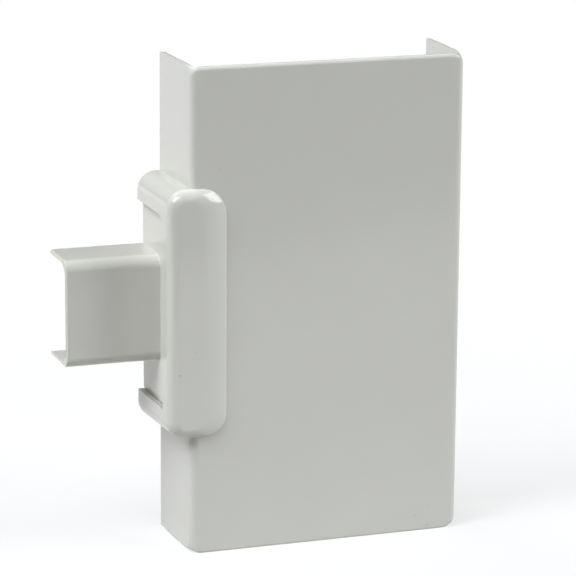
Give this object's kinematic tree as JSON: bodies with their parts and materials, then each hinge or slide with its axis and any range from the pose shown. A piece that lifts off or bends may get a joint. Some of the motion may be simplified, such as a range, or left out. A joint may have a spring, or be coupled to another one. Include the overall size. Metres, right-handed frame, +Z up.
{
  "type": "trunking reducer adapter",
  "caption": "Flat cover piece for a main cable trunking run, open at the back and both ends, with a side hood and slide-in insert whose stub takes a smaller branch trunking.",
  "frame": {"origin": "on the wall plane, on the centre line of the main run, at the cover's lower end", "axes": "+Z up along the main run, the back lies on the wall at y = 0, the front faces -Y, the branch leaves towards -X"},
  "size_m": [0.154, 0.0409, 0.188],
  "materials": {
    "cover_plastic": "smooth glossy warm-white moulded plastic",
    "insert_plastic": "smooth glossy warm-white moulded plastic"
  },
  "bodies": {
    "root": {"cover": "cover_plastic", "branch_insert": "insert_plastic"}
  },
  "joints": []
}
